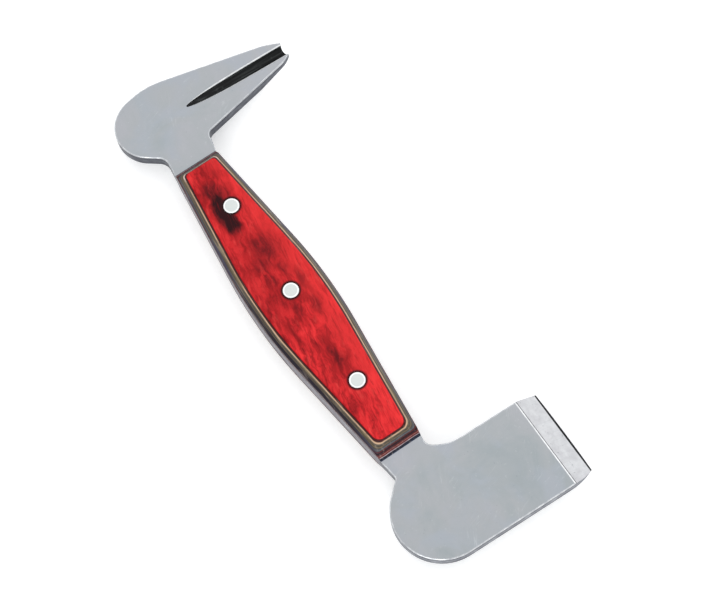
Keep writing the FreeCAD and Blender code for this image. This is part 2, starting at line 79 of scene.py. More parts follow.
# Scale edges: upright wall, then a chamfer along the sides; slopes at both ends.
SIDE_CHAMFER = 3.6 * MM
SLOPE_PICK_END = 4.8 * MM
SLOPE_SCRAPER_END = 5.8 * MM
WALL_BLEND = 0.22 * MM
CREST_REACH = 0.8 * 0.24 * MM
CORNER_FOOT = 0.35 * MM
CORNER_PICK_TOP = 1.7 * MM
CORNER_SCRAPER_TOP = 3.3 * MM
CORNER_GROWTH = 1.1
OUTLINE_STEPS = 128
SIDE_POINTS, END_POINTS, CORNER_POINTS = 64, 8, 8

# Rows of faces up each veneer's edge, and up the red one, which has the rounded crest.
VENEER_ROW = 0.25 * MM
CREST_ROWS = (0.0, 0.35, 0.68, 0.78, 0.88, 0.95, 1.0)

# Wavy joins between the veneers: height, length, and where each join reads the noise.
JOIN_WAVE = 0.10 * MM
JOIN_WAVE_STEP = 11.0 * MM
JOIN_WAVE_SEEDS = {"front": 3.0, "back": 17.0}
JOIN_WAVE_GAP = 5.0

# Steel plate: rounded arrises, bevel ground on the scraper, groove cut in the pick.
FRONT_ARRIS = 0.42 * MM
BACK_ARRIS = 0.85 * MM
HANDLE_ARRIS = 0.06 * MM
ARRIS_STEPS = 4
ARRIS_FADE = 3.0 * MM
BEVEL_START_Y = 46.2 * MM
BEVEL_END_Y = 55.9 * MM
BEVEL_LAND = 0.3 * MM
HONED_START_Y = 54.45 * MM
HONED_LAND = 0.05 * MM
BEVEL_EASE = 0.45 * MM
BEVEL_FROM_X = 70.0 * MM
RELIEF_START_Y = 36.0 * MM
RELIEF_END_Y = 57.5 * MM
RELIEF_RISE = 3.9 * MM
RELIEF_TO_X = -60.0 * MM
CUTTER_CLEAR = 3.0 * MM
GROOVE_START = (-94.9 * MM, 11.0 * MM)
GROOVE_RADIUS = 2.45 * MM
GROOVE_DEPTH = 1.70 * MM
GROOVE_LEAN = math.radians(2.0)
GROOVE_REACH = 46.0 * MM
GROOVE_OVERRUN = 6.0 * MM
GROOVE_CHAMFER = 0.44 * MM
GROOVE_START_DEPTH = 0.02 * MM
GROOVE_STATIONS, GROOVE_TURNS = 60, 18
GROOVE_CLEAR = 0.6 * MM

# Pins: distance from the middle over the radius, and lift of the crowned end over its edge.
PIN_CROWN = 0.05 * MM
PIN_EDGE = 0.16 * MM
PIN_END = ((0.30, 1.0), (0.60, 0.8), (0.80, 0.4), (0.93, 0.0))

VENEERS = ("navy", "mauve", "black", "sand", "olive", "tan", "brown", "red")
PINS = ("pin_pick", "pin_middle", "pin_scraper")


# ---------------------------------------------------------------- shapes

def finish_piece(name, bm, materials, replaced, sharp_angle=28.0):
    """Turn a bmesh into a shaded piece that rides on the root body."""
    bmesh.ops.recalc_face_normals(bm, faces=bm.faces[:])
    mesh = bpy.data.meshes.new(name)
    bm.to_mesh(mesh)
    bm.free()
    for material in materials:
        mesh.materials.append(material)
    piece = bpy.data.objects.new(name, mesh)
    bpy.context.scene.collection.objects.link(piece)
    shade(piece, sharp_angle)
    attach(piece, "root")
    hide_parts(*replaced)
    return piece


def shade(piece, sharp_angle):
    """Smooth faces, hard creases above the angle, and flat faces kept flat."""
    bm = bmesh.new()
    bm.from_mesh(piece.data)
    limit = math.radians(sharp_angle)
    for face in bm.faces:
        face.smooth = True
    for edge in bm.edges:
        edge.smooth = len(edge.link_faces) == 2 and edge.calc_face_angle(0.0) < limit
    bm.to_mesh(piece.data)
    bm.free()
    normals = piece.modifiers.new("flat_faces", "WEIGHTED_NORMAL")
    normals.keep_sharp = True


def bridge(bm, lower, upper, index):
    """Quads between two rings of the same count."""
    count = len(lower)
    for i in range(count):
        j = (i + 1) % count
        face = bm.faces.new((lower[i], lower[j], upper[j], upper[i]))
        face.material_index = index


def cap(bm, loops, index):
    """Close a set of rings, the outer one first, with triangles."""
    flat = [[Vector((v.co.x, v.co.y, 0.0)) for v in loop] for loop in loops]
    every = [v for loop in loops for v in loop]
    for triangle in tessellate_polygon(flat):
        face = bm.faces.new([every[i] for i in triangle])
        face.material_index = index


def pin_axis(node):
    """Centre and radius of a pin, from its CAD box."""
    low, high = BOXES[node]
    return Vector(((low.x + high.x) / 2, (low.y + high.y) / 2)), (high.x - low.x) / 2


def pin_circle(node, radius, count=48):
    centre, _ = pin_axis(node)
    turns = [2 * math.pi * i / count for i in range(count)]
    return [(centre.x + radius * math.cos(t), centre.y + radius * math.sin(t)) for t in turns]


def signed_area(loop):
    return sum(a[0] * b[1] - b[0] * a[1] for a, b in zip(loop, loop[1:] + loop[:1])) / 2


def outline_loops(node):
    """Loops round the CAD node's faces that look down, the outer one first, counter-clockwise."""
    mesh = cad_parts[node].data
    touching = {}  # a dict, not a set, so that the loops start at the same points each run
    for polygon in mesh.polygons:
        corners = [mesh.vertices[i].co for i in polygon.vertices]
        if polygon.normal.z < -0.5:
            keys = [(round(c.x, 7), round(c.y, 7)) for c in corners]
            for a, b in zip(keys, keys[1:] + keys[:1]):
                touching[(a, b)] = True
    border = {a: b for a, b in touching if (b, a) not in touching}
    loops = []
    while border:
        start, point = border.popitem()
        loop = [start]
        while point != start:
            loop.append(point)
            point = border.pop(point)
        loops.append(loop)
    loops.sort(key=lambda loop: -abs(signed_area(loop)))
    return [loop if signed_area(loop) > 0 else loop[::-1] for loop in loops]


def split_at(loop, levels):
    """The loop with a point added wherever a side crosses one of the x levels."""
    made = []
    for a, b in zip(loop, loop[1:] + loop[:1]):
        made.append(a)
        crossed = [x for x in levels if (a[0] - x) * (b[0] - x) < 0]
        for x in sorted(crossed, reverse=a[0] > b[0]):
            share = (x - a[0]) / (b[0] - a[0])
            made.append((x, a[1] + share * (b[1] - a[1])))
    return made


def mitres(loop):
    """For each point, the step that moves both its sides inwards by one unit."""
    steps = []
    for before, here, after in zip(loop[-1:] + loop[:-1], loop, loop[1:] + loop[:1]):
        first = Vector((here[0] - before[0], here[1] - before[1])).normalized()
        second = Vector((after[0] - here[0], after[1] - here[1])).normalized()
        inward = [Vector((-side.y, side.x)) for side in (first, second)]
        steps.append((inward[0] + inward[1]) / (1.0 + inward[0].dot(inward[1])))
    return steps


def smooth_step(x):
    x = min(1.0, max(0.0, x))
    return x * x * (3 - 2 * x)


def steel_body():
    """The plate with rounded arrises, before the bevel and the groove are cut."""
    ends = (HANDLE_LOW.x, HANDLE_HIGH.x)
    levels = [x + way * reach for x, way in zip(ends, (-1, 1))
              for reach in (0.0, ARRIS_FADE / 2, ARRIS_FADE)]
    loops = outline_loops("tool_blank")
    outer, holes = split_at(loops[0], levels), loops[1:]
    steps = mitres(outer)

    def share(x):
        """0 between the scales, 1 out on the heads."""
        outside = max(ends[0] - x, x - ends[1])
        return smooth_step(outside / ARRIS_FADE)

    bm = bmesh.new()
    rings = []
    for radius, level, way in ((BACK_ARRIS, PLATE_LOW.z, 1), (FRONT_ARRIS, PLATE_HIGH.z, -1)):
        turns = [math.pi / 2 * i / ARRIS_STEPS for i in range(ARRIS_STEPS + 1)]
        for turn in turns if way > 0 else turns[::-1]:
            ring = []
            for (x, y), step in zip(outer, steps):
                r = HANDLE_ARRIS + (radius - HANDLE_ARRIS) * share(x)
                inset = r * (1 - math.sin(turn))
                z = level + way * r * (1 - math.cos(turn))
                ring.append(bm.verts.new((x + inset * step.x, y + inset * step.y, z)))
            rings.append(ring)
    for number, (lower, upper) in enumerate(zip(rings, rings[1:])):
        bridge(bm, lower, upper, SIDE if number == ARRIS_STEPS else ARRIS)
    hole_rings = []
    for loop in holes:
        pair = [[bm.verts.new((x, y, z)) for x, y in loop] for z in (PLATE_LOW.z, PLATE_HIGH.z)]
        bridge(bm, *pair, SIDE)
        hole_rings.append(pair)
    cap(bm, [rings[0]] + [pair[0] for pair in hole_rings], FACE)
    cap(bm, [rings[-1]] + [pair[1] for pair in hole_rings], FACE)
    return bm


def bevel_cutter():
    """Side view of the metal ground off the scraper, drawn out along X."""
    top, foot = PLATE_HIGH.z, PLATE_LOW.z + HONED_LAND
    slope = (top - PLATE_LOW.z - BEVEL_LAND) / (BEVEL_END_Y - BEVEL_START_Y)
    honed_top = top - slope * (HONED_START_Y - BEVEL_START_Y)
    profile = [
        (BEVEL_START_Y - 2.2 * BEVEL_EASE, top + 0.15 * BEVEL_EASE),
        (BEVEL_START_Y - 0.6 * BEVEL_EASE, top - 0.06 * BEVEL_EASE),
        (BEVEL_START_Y + 0.2 * BEVEL_EASE, top - 0.30 * BEVEL_EASE),
        (BEVEL_START_Y + 0.8 * BEVEL_EASE, top - 0.95 * BEVEL_EASE),
        (BEVEL_START_Y + 2.0 * BEVEL_EASE, top - slope * 2.0 * BEVEL_EASE),
        (HONED_START_Y, honed_top),
        (BEVEL_END_Y, foot),
        (BEVEL_END_Y + CUTTER_CLEAR, foot),
        (BEVEL_END_Y + CUTTER_CLEAR, top + CUTTER_CLEAR),
        (BEVEL_START_Y - 2.2 * BEVEL_EASE, top + CUTTER_CLEAR),
    ]
    # Painted highlight and shade: the bevel's crest takes the near-white lip tone, and the steep
    # step below it the near-black honed tone.
    slots = [LIP, LIP, HONED, BEVEL, BEVEL, HONED, HONED, BEVEL, BEVEL, BEVEL]
    return side_view_cutter(profile, slots, BEVEL_FROM_X, PLATE_HIGH.x + CUTTER_CLEAR)


def relief_cutter():
    """The wedge ground off the back of the pick, which thins its tip."""
    foot, clear = PLATE_LOW.z, CUTTER_CLEAR
    slope = RELIEF_RISE / (RELIEF_END_Y - RELIEF_START_Y)
    profile = [
        (RELIEF_START_Y - clear, foot - slope * clear),
        (RELIEF_END_Y + clear, foot + RELIEF_RISE + slope * clear),
        (RELIEF_END_Y + clear, foot - clear),
        (RELIEF_START_Y - clear, foot - clear),
    ]
    return side_view_cutter(profile, [BEVEL] * 4, PLATE_LOW.x - clear, RELIEF_TO_X)


def side_view_cutter(profile, slots, near, far):
    """A side view of y and z drawn out along X."""
    bm = bmesh.new()
    rings = [[bm.verts.new((x, y, z)) for y, z in profile] for x in (near, far)]
    count = len(profile)
    for i in range(count):
        j = (i + 1) % count
        face = bm.faces.new((rings[0][i], rings[0][j], rings[1][j], rings[1][i]))
        face.material_index = slots[i]
    for ring in rings:
        bm.faces.new(ring).material_index = BEVEL
    return bm


def groove_cutter():
    """A round cutter that sinks towards the tip, steeply at first, with chamfered lips."""
    along = Vector((math.sin(GROOVE_LEAN), math.cos(GROOVE_LEAN)))
    across = Vector((along.y, -along.x))
    bm = bmesh.new()
    rings = []
    for i in range(GROOVE_STATIONS + 1):
        run = (GROOVE_REACH + GROOVE_OVERRUN) * (i / GROOVE_STATIONS) ** 1.6
        share = min(1.0, run / GROOVE_REACH)
        depth = GROOVE_START_DEPTH + GROOVE_DEPTH * share * (2 - share)
        chamfer = min(GROOVE_CHAMFER, 0.45 * depth)
        half = math.acos(1 - depth / GROOVE_RADIUS)
        section = []
        for k in range(GROOVE_TURNS + 1):
            turn = half * (2 * k / GROOVE_TURNS - 1)
            section.append((GROOVE_RADIUS * math.sin(turn),
                            GROOVE_RADIUS * (1 - math.cos(turn)) - depth - chamfer))
        lip = section[-1][0] + chamfer + GROOVE_CLEAR
        section = [(-lip, GROOVE_CLEAR)] + section + [(lip, GROOVE_CLEAR)]
        origin = Vector(GROOVE_START) + along * run
        ring = []
        for side, height in section:
            spot = origin + across * side
            ring.append(bm.verts.new((spot.x, spot.y, PLATE_HIGH.z + height)))
        rings.append(ring)
    count = len(rings[0])
    for lower, upper in zip(rings, rings[1:]):
        for i in range(count):
            j = (i + 1) % count
            face = bm.faces.new((lower[i], lower[j], upper[j], upper[i]))
            face.material_index = LIP if i in (0, count - 2) else GROOVE
    for ring in (rings[0], rings[-1]):
        bm.faces.new(ring).material_index = GROOVE
    return bm


def build_steel(materials):
    """The one-piece steel blank."""
    cutters = []
    shapes = (("bevel_cutter", bevel_cutter()), ("relief_cutter", relief_cutter()),
              ("groove_cutter", groove_cutter()))
    for name, bm in shapes:
        bmesh.ops.recalc_face_normals(bm, faces=bm.faces[:])
        mesh = bpy.data.meshes.new(name)
        bm.to_mesh(mesh)
        bm.free()
        for material in materials:
            mesh.materials.append(material)
        cutter = bpy.data.objects.new(name, mesh)
        bpy.context.scene.collection.objects.link(cutter)
        cutters.append(cutter)
    piece = finish_piece("steel_blank", steel_body(), materials, ["tool_blank"])
    piece.modifiers.clear()
    for cutter in cutters:
        cut = piece.modifiers.new(cutter.name, "BOOLEAN")
        cut.operation = "DIFFERENCE"
        cut.solver = "EXACT"
        cut.object = cutter
    graph = bpy.context.evaluated_depsgraph_get()
    piece.data = bpy.data.meshes.new_from_object(piece.evaluated_get(graph))
    piece.modifiers.clear()
    for cutter in cutters:
        bpy.data.objects.remove(cutter)
    shade(piece, 20.0)
    return piece


def side_y(x, side, inset):
    """The y of one long side of the handle's outline, drawn in by inset."""
    widest_half = HANDLE_HIGH.y if side > 0 else -HANDLE_LOW.y
    taper = UPPER_TAPER if side > 0 else LOWER_TAPER
    radius = WAIST_RADIUS - inset
    depth = WAIST_RADIUS - widest_half
    reach = radius * math.sin(taper)
    run = abs(x - WIDEST_X)
    if run <= reach:
        return side * (math.sqrt(radius**2 - run**2) - depth)
    return side * (radius * math.cos(taper) - depth - (run - reach) * math.tan(taper))


def fillet(corner, before, after, radius, count):
    """Points of the arc that rounds a corner between the ways back and forward."""
    back, on = (before - corner).normalized(), (after - corner).normalized()
    half = back.angle(on) / 2
    reach = radius / math.tan(half)
    centre = corner + (back + on).normalized() * (radius / math.sin(half))
    start, end = corner + back * reach - centre, corner + on * reach - centre
    sweep = start.angle_signed(end)
    points = []
    for i in range(count + 1):
        turn = -sweep * i / count
        spun = Vector((start.x * math.cos(turn) - start.y * math.sin(turn),
                       start.x * math.sin(turn) + start.y * math.cos(turn)))
        points.append(centre + spun)
    return points


def handle_ring(inset, pick_x, scraper_x, pick_round, scraper_round):
    """The handle's outline with rounded corners, counter-clockwise, always the same count."""
    near = 1.0 * MM
    corners = {}
    for key, x, side, way in (("pick_low", pick_x, -1, 1), ("scraper_low", scraper_x, -1, -1),
                              ("scraper_up", scraper_x, 1, -1), ("pick_up", pick_x, 1, 1)):
        point = Vector((x, side_y(x, side, inset)))
        inner = Vector((x + way * near, side_y(x + way * near, side, inset)))
        middle = Vector((x, 0.0))
        rounding = pick_round if x == pick_x else scraper_round
        ways = (inner, middle) if key in ("scraper_low", "pick_up") else (middle, inner)
        corners[key] = fillet(point, *ways, rounding, CORNER_POINTS)
    points = list(corners["pick_low"])
    points += long_side(corners["pick_low"][-1], corners["scraper_low"][0], -1, inset)
    points += corners["scraper_low"]
    points += short_side(corners["scraper_low"][-1], corners["scraper_up"][0])
    points += corners["scraper_up"]
    points += long_side(corners["scraper_up"][-1], corners["pick_up"][0], 1, inset)
    points += corners["pick_up"]
    points += short_side(corners["pick_up"][-1], corners["pick_low"][0])
    return points


def long_side(start, end, side, inset):
    """The points between two corners along a curved side of the handle."""
    xs = [start.x + (end.x - start.x) * i / SIDE_POINTS for i in range(1, SIDE_POINTS)]
    return [Vector((x, side_y(x, side, inset))) for x in xs]


def short_side(start, end):
    """The points between two corners across an end of the handle."""
    return [start.lerp(end, i / END_POINTS) for i in range(1, END_POINTS)]


def scale_ring(rise):
    """The outline of a scale at a height above the steel."""
    over = rise - (SCALE_HEIGHT - SIDE_CHAMFER)
    blended = (over + math.sqrt(over * over + WALL_BLEND**2)) / 2
    crest = max(0.0, (rise - (SCALE_HEIGHT - CREST_REACH)) / CREST_REACH)
    softened = CREST_REACH * crest**2
    share = rise / SCALE_HEIGHT
    pick_x = HANDLE_LOW.x + SLOPE_PICK_END * share + softened
    scraper_x = HANDLE_HIGH.x - SLOPE_SCRAPER_END * share - softened
    grown = smooth_step(share * CORNER_GROWTH)
    return handle_ring(blended + softened, pick_x, scraper_x,
                       CORNER_FOOT + (CORNER_PICK_TOP - CORNER_FOOT) * grown,
                       CORNER_FOOT + (CORNER_SCRAPER_TOP - CORNER_FOOT) * grown)


def build_scale(side, grid, materials):
    """The eight veneers of one scale, each a closed slice with leaning, wavy edges."""
    boxes = [BOXES[f"{side}_veneer_{colour}"] for colour in VENEERS]
    if side == "front":
        base, way = boxes[0][0].z, 1.0
        rises = [0.0] + [high.z - base for _, high in boxes]
    else:
        base, way = boxes[0][1].z, -1.0
        rises = [0.0] + [base - low.z for low, _ in boxes]
    full = rises[-1]
    fine = len(grid) - 1

    def join_rise(number, x, y):
        """The height of the join over veneer number, with its slow wave."""
        if number in (0, len(VENEERS)):
            return rises[number]
        spot = Vector((x / JOIN_WAVE_STEP, y / JOIN_WAVE_STEP,
                       JOIN_WAVE_SEEDS[side] + JOIN_WAVE_GAP * number))
        return rises[number] + JOIN_WAVE * noise.noise(spot)

    def edge_point(k, rise):
        """Point k of the scale's outline at a height above the steel."""
        at = min(fine - 1e-6, max(0.0, rise / full * fine))
        i = int(at)
        return grid[i][k].lerp(grid[i + 1][k], at - i)

    count = len(grid[0])
    for number, colour in enumerate(VENEERS):
        bm = bmesh.new()
        foot_z = [join_rise(number, *edge_point(k, rises[number])) for k in range(count)]
        head_z = [join_rise(number + 1, *edge_point(k, rises[number + 1])) for k in range(count)]
        layers = max(2, round((rises[number + 1] - rises[number]) / VENEER_ROW))
        steps = [i / layers for i in range(layers + 1)]
        if number == len(VENEERS) - 1:
            steps = CREST_ROWS
        rings = []
        for share in steps:
            ring = []
            for k in range(count):
                rise = foot_z[k] + (head_z[k] - foot_z[k]) * share
                spot = edge_point(k, rise)
                ring.append(bm.verts.new((spot.x, spot.y, base + way * rise)))
            rings.append(ring)
        for lower, upper in zip(rings, rings[1:]):
            bridge(bm, lower, upper, 0)
        loops = {0: [rings[0]], 1: [rings[-1]]}
        for pin in PINS:
            _, radius = pin_axis(pin)
            circle = pin_circle(pin, radius)
            pair = []
            for end in (0, 1):
                ring = []
                for x, y in circle:
                    rise = join_rise(number + end, x, y)
                    ring.append(bm.verts.new((x, y, base + way * rise)))
                pair.append(ring)
                loops[end].append(ring)
            bridge(bm, *pair, 0)
        cap(bm, loops[0], 0)
        cap(bm, loops[1], 0)
        finish_piece(f"{side}_ply_{colour}", bm, [materials[colour]],
                     [f"{side}_veneer_{colour}"])


def build_pin(node, materials):
    """A round pin, sanded flush, with a faintly crowned end and a small broken edge."""
    low, high = BOXES[node]
    _, radius = pin_axis(node)
    middle = (low.z + high.z) / 2
    half = (high.z - low.z) / 2
    bm = bmesh.new()
    rings = []
    for way in (-1, 1):
        section = [(share * radius, half + lift * PIN_CROWN) for share, lift in PIN_END]
        section += [(radius - 0.3 * PIN_EDGE, half - 0.25 * PIN_EDGE), (radius, half - PIN_EDGE)]
        for distance, height in section if way < 0 else section[::-1]:
            ring = []
            for x, y in pin_circle(node, distance, 64):
                ring.append(bm.verts.new((x, y, middle + way * height)))
            rings.append(ring)
    for number, (lower, upper) in enumerate(zip(rings, rings[1:])):
        # The outer rings of each end and the side take the second metal, whose lighter tone is a
        # painted highlight.
        from_end = min(number, len(rings) - 2 - number)
        bridge(bm, lower, upper, 0 if from_end < 2 else 1)
    for ring in (rings[0], rings[-1]):
        bm.faces.new(ring).material_index = 0
    finish_piece(node + "_metal", bm, materials, [node], 40.0)


# ---------------------------------------------------------------- materials

def srgb(red, green, blue):
    """A colour from 0 to 255 as the renderer's linear colour."""
    made = []
    for value in (red, green, blue):
        share = value / 255
        made.append(share / 12.92 if share <= 0.04045 else ((share + 0.055) / 1.055) ** 2.4)
    return (*made, 1.0)


class Surface:
    """A material whose detail comes from nodes placed by the row frame."""

    def __init__(self, name, **constants):
        self.material = bpy.data.materials.new(name)
        self.material.use_nodes = True
        self.tree = self.material.node_tree
        self.shader = next(n for n in self.tree.nodes if n.type == "BSDF_PRINCIPLED")
        for key, value in constants.items():
            self.shader.inputs[key.replace("_", " ")].default_value = value
        self.place = self.add("ShaderNodeTexCoord", {}).outputs["Object"]

    def feed(self, socket, value):
        if isinstance(value, bpy.types.NodeSocket):
            self.tree.links.new(value, socket)
        else:
            socket.default_value = value

    def add(self, kind, inputs, **settings):
        node = self.tree.nodes.new(kind)
        for key, value in settings.items():
            setattr(node, key, value)
        for key, value in inputs.items():
            self.feed(node.inputs[key], value)
        return node

    def vector(self, operation, first, second):
        made = self.add("ShaderNodeVectorMath", {0: first, 1: second}, operation=operation)
        return made.outputs[0]

    def spot(self, stretch=(1, 1, 1), turn=0.0, move=(0, 0, 0)):
        """Object coordinates, moved, turned about Z and scaled per axis."""
        turned = self.add("ShaderNodeMapping", {0: self.place, 1: move, 2: (0, 0, turn)})
        return self.add("ShaderNodeMapping", {0: turned.outputs[0], 3: stretch}).outputs[0]

    def noise(self, vector, scale, detail=3.0, rough=0.55, warp=0.0):
        made = self.add("ShaderNodeTexNoise", {"Vector": vector, "Scale": scale, "Detail": detail,
                                               "Roughness": rough, "Distortion": warp})
        return made.outputs[0]

    def math(self, operation, first, second=0.0, clamp=False):
        made = self.add("ShaderNodeMath", {0: first, 1: second}, operation=operation)
        made.use_clamp = clamp
        return made.outputs[0]

    def ease(self, value, low, high, start=0.0, end=1.0):
        """start below low, end above high, and a smooth change between."""
        made = self.add("ShaderNodeMapRange", {0: value, 1: low, 2: high, 3: start, 4: end},
                        interpolation_type="SMOOTHSTEP")
        return made.outputs[0]

    def mix(self, share, first, second):
        made = self.add("ShaderNodeMix", {}, data_type="RGBA")
        for index, value in ((0, share), (6, first), (7, second)):
            self.feed(made.inputs[index], value)
        return made.outputs[2]

    def ramp(self, share, stops):
        made = self.add("ShaderNodeValToRGB", {0: share})
        ramp = made.color_ramp
        while len(ramp.elements) < len(stops):
            ramp.elements.new(0.5)
        for element, (place, colour) in zip(ramp.elements, stops):
            element.position = place
            element.color = colour
        return made.outputs[0]

    def bump(self, height, distance, strength=1.0, normal=None):
        inputs = {"Height": height, "Distance": distance, "Strength": strength}
        if normal is not None:
            inputs["Normal"] = normal
        return self.add("ShaderNodeBump", inputs).outputs[0]

    def axis(self, vector, which):
        return self.add("ShaderNodeSeparateXYZ", {0: vector}).outputs[which]

    def from_plate(self):
        """Height above or below the middle of the plate."""
        return self.math("ABSOLUTE", self.math("SUBTRACT", self.axis(self.place, 2), PLATE_MIDDLE))

    def reach(self, place, centre_x, centre_y, halves):
        """Distance from an upright axis, as a share of the half sizes along X and Y."""
        moved = self.vector("SUBTRACT", place, (centre_x, centre_y, 0.0))
        flat = self.vector("MULTIPLY", moved, (1 / halves[0], 1 / halves[1], 0.0))
        return self.add("ShaderNodeVectorMath", {0: flat}, operation="LENGTH").outputs[1]

    def finish(self, colour, roughness, normal):
        self.feed(self.shader.inputs["Base Color"], colour)
        self.feed(self.shader.inputs["Roughness"], roughness)
        self.feed(self.shader.inputs["Normal"], normal)
        return self.material

    def fine_scratches(self, stretch, turn, thin):
        """Thin broken lines, 1 on a scratch and 0 off it."""
        lines = self.noise(self.spot(stretch, turn), 1.0, 2.0, 0.5)
        off = self.math("ABSOLUTE", self.math("SUBTRACT", lines, 0.5))
        line = self.ease(off, 0.0, thin, 1.0, 0.0)
        broken = self.ease(self.noise(self.spot(move=(turn, 0, 0)), 90.0), 0.52, 0.66)
        return self.math("MULTIPLY", line, broken)


def steel_face():
    """Satin, tumbled plate: cloudy grey with a few light scratches and specks."""
    s = Surface("steel_face", Metallic=1.0)
    clouds = s.noise(s.spot(), 45.0, 4.0, 0.6, 0.6)
    tone = s.ramp(clouds, [(0.30, srgb(148, 154, 157)), (0.50, srgb(160, 163, 166)),
                           (0.72, srgb(170, 171, 176))])
    drift = s.noise(s.spot(move=(0.4, 0, 0)), 44.0, 3.0, 0.6, 1.2)
    tone = s.mix(s.ease(drift, 0.46, 0.66, 0.0, 0.42), tone, srgb(158, 164, 174))
    speck = s.ease(s.noise(s.spot(), 900.0, 2.0), 0.66, 0.74)
    scratch = s.math("MAXIMUM", s.fine_scratches((25, 520, 25), 0.5, 0.012),
                     s.fine_scratches((520, 30, 25), -0.35, 0.010))
    marks = s.math("MAXIMUM", s.math("MULTIPLY", speck, 0.5), scratch)
    tone = s.mix(s.math("MULTIPLY", marks, 0.26), tone, srgb(206, 209, 211))
    pits = s.ease(s.noise(s.spot(move=(3, 0, 0)), 1300.0, 2.0), 0.70, 0.78)
    tone = s.mix(s.math("MULTIPLY", pits, 0.40), tone, srgb(112, 116, 122))
    rough = s.ease(clouds, 0.3, 0.7, 0.40, 0.48)
    skin = s.noise(s.spot(), 1500.0, 3.0, 0.6)
    normal = s.bump(skin, 0.02 * MM, 0.35)
    normal = s.bump(clouds, 0.25 * MM, 0.25, normal)
    normal = s.bump(marks, -0.008 * MM, 0.6, normal)
    return s.finish(tone, rough, normal)


def steel_side():
    """Sheared edge of the plate: banded by height, with upright marks.

    It is darkest round the pick head, where painted shade darkens it, a warmer grey
    between the scales, and lightest along the scraper's blade.
    """
    s = Surface("steel_side", Metallic=1.0)
    wander = s.math("SUBTRACT", s.noise(s.spot(), 160.0, 3.0), 0.5)
    wander = s.math("MULTIPLY", wander, 1.6 * MM)
    height = s.math("ADD", s.axis(s.place, 2), wander)
    share = s.ease(height, PLATE_LOW.z, PLATE_HIGH.z)
    tone = s.ramp(share, [(0.0, srgb(84, 87, 95)), (0.16, srgb(84, 87, 96)),
                          (0.30, srgb(108, 111, 119)), (0.60, srgb(132, 135, 142)),
                          (0.76, srgb(124, 127, 136)), (0.92, srgb(72, 75, 86))])
    upright = s.noise(s.spot((1400, 1400, 60)), 1.0, 4.0, 0.65)
    tone = s.mix(s.ease(upright, 0.3, 0.75, 0.0, 0.34), tone, srgb(74, 77, 86))
    end, x = HANDLE_HIGH.x, s.axis(s.place, 0)
    inside = s.ease(s.math("ABSOLUTE", x), end - 2.0 * MM, end + 1.0 * MM, 0.75, 0.0)
    tone = s.mix(inside, tone, srgb(150, 143, 151))
    blotch = s.noise(s.spot(), 230.0, 3.0, 0.6)
    tone = s.mix(s.ease(blotch, 0.5, 0.72, 0.0, 0.35), tone, srgb(176, 182, 190))
    # Painted shade: the sheared edge is darkened round the pick head.
    pick_head_shade = s.ease(x, -end - 6.0 * MM, -end, 0.60, 0.0)
    tone = s.mix(pick_head_shade, tone, srgb(44, 48, 60))
    short_of_blade = s.ease(x, end + 14.0 * MM, end + 32.0 * MM, 0.26, 0.0)
    tone = s.mix(short_of_blade, tone, srgb(60, 62, 70))
    rough = s.ease(blotch, 0.3, 0.7, 0.48, 0.36)
    normal = s.bump(upright, 0.05 * MM, 0.5)
    normal = s.bump(blotch, 0.10 * MM, 0.35, normal)
    return s.finish(tone, rough, normal)


def steel_arris():
    """The broken edges, rubbed bright, with painted shade darkening those that face the tips."""
    s = Surface("steel_arris", Metallic=1.0)
    wear_and_sheen = s.noise(s.spot(), 420.0, 4.0, 0.6)
    tone = s.ramp(wear_and_sheen, [(0.35, srgb(176, 179, 183)), (0.65, srgb(214, 216, 218))])
    # Painted shade: arrises whose normals face the tips (+Y) are darkened.
    tip_side_shade = s.axis(s.add("ShaderNodeNewGeometry", {}).outputs["Normal"], 1)
    tone = s.mix(s.ease(tip_side_shade, 0.05, 0.45, 0.0, 0.85), tone, srgb(120, 124, 130))
    rough = s.ease(wear_and_sheen, 0.3, 0.7, 0.34, 0.22)
    return s.finish(tone, rough, s.bump(wear_and_sheen, 0.05 * MM, 0.4))


def steel_lip_highlight():
    """The lips of the groove and the crest of the bevel: painted almost white as a highlight."""
    s = Surface("steel_lip_highlight", Metallic=0.35)
    wear_and_sheen = s.noise(s.spot(), 520.0, 3.0, 0.6)
    # Painted highlight: a near-white, partly diffuse tone along the lips.
    tone = s.ramp(wear_and_sheen, [(0.34, srgb(216, 218, 220)), (0.60, srgb(240, 241, 242))])
    return s.finish(tone, s.ease(wear_and_sheen, 0.3, 0.7, 0.60, 0.50), s.bump(wear_and_sheen, 0.03 * MM, 0.3))


def steel_bevel():
    """The ground bevel: bright, with fine grinding lines down the slope."""
    s = Surface("steel_bevel", Metallic=1.0)
    lines = s.noise(s.spot((2600, 40, 40), 0.05), 1.0, 3.0, 0.6)
    mottle = s.noise(s.spot(), 260.0, 4.0, 0.6, 0.4)
    tone = s.ramp(mottle, [(0.32, srgb(180, 180, 183)), (0.66, srgb(200, 201, 203))])
    tone = s.mix(s.ease(lines, 0.45, 0.75, 0.0, 0.30), tone, srgb(166, 168, 173))
    nick = s.ease(s.noise(s.spot(), 700.0, 2.0), 0.66, 0.72, 0.0, 0.6)
    tone = s.mix(nick, tone, srgb(130, 132, 138))
    rough = s.ease(mottle, 0.3, 0.7, 0.30, 0.40)
    normal = s.bump(lines, 0.015 * MM, 0.5)
    return s.finish(tone, rough, s.bump(mottle, 0.05 * MM, 0.3, normal))


def steel_honed():
    """The narrow steeper facet at the cutting edge, painted near-black as a dark reflection."""
    s = Surface("steel_honed", Metallic=1.0)
    lines = s.noise(s.spot((120, 2200, 2200)), 1.0, 3.0, 0.6)
    # Painted reflection: the near-black tone stands for the dark that the facet reflects.
    tone = s.ramp(lines, [(0.3, srgb(16, 16, 18)), (0.7, srgb(38, 38, 42))])
    return s.finish(tone, s.ease(lines, 0.3, 0.7, 0.30, 0.42), s.bump(lines, 0.02 * MM, 0.5))


